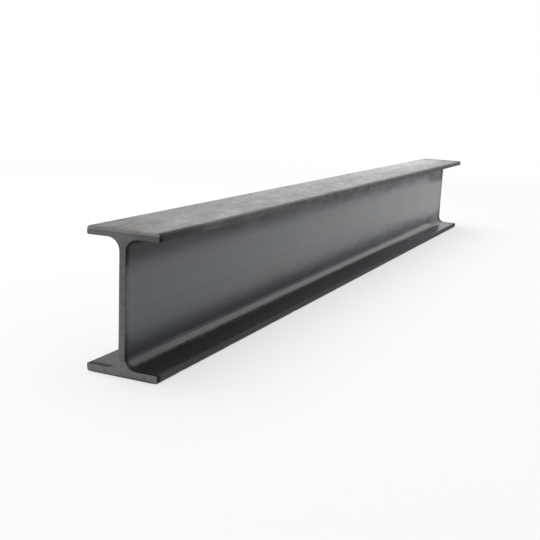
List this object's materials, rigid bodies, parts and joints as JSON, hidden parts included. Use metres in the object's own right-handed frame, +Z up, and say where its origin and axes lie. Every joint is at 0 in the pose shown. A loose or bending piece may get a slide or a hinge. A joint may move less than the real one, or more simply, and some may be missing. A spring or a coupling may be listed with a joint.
{
  "type": "steel i-beam",
  "caption": "Short length of hot-rolled steel I-beam: two parallel flanges joined by a thin web with rounded roots, sawn square at both ends.",
  "frame": {"origin": "middle of the underside, where the beam stands on its bottom flange", "axes": "+X along the length of the beam, +Y across the flanges, +Z up through the web"},
  "size_m": [0.85, 0.056, 0.1],
  "materials": {
    "rolled_steel": "as rolled, blue-grey mill scale, dull and faintly streaked along the length, lightly worn at the flange toes, bare saw-cut ends"
  },
  "bodies": {
    "root": {"i_beam": "rolled_steel"}
  },
  "joints": []
}
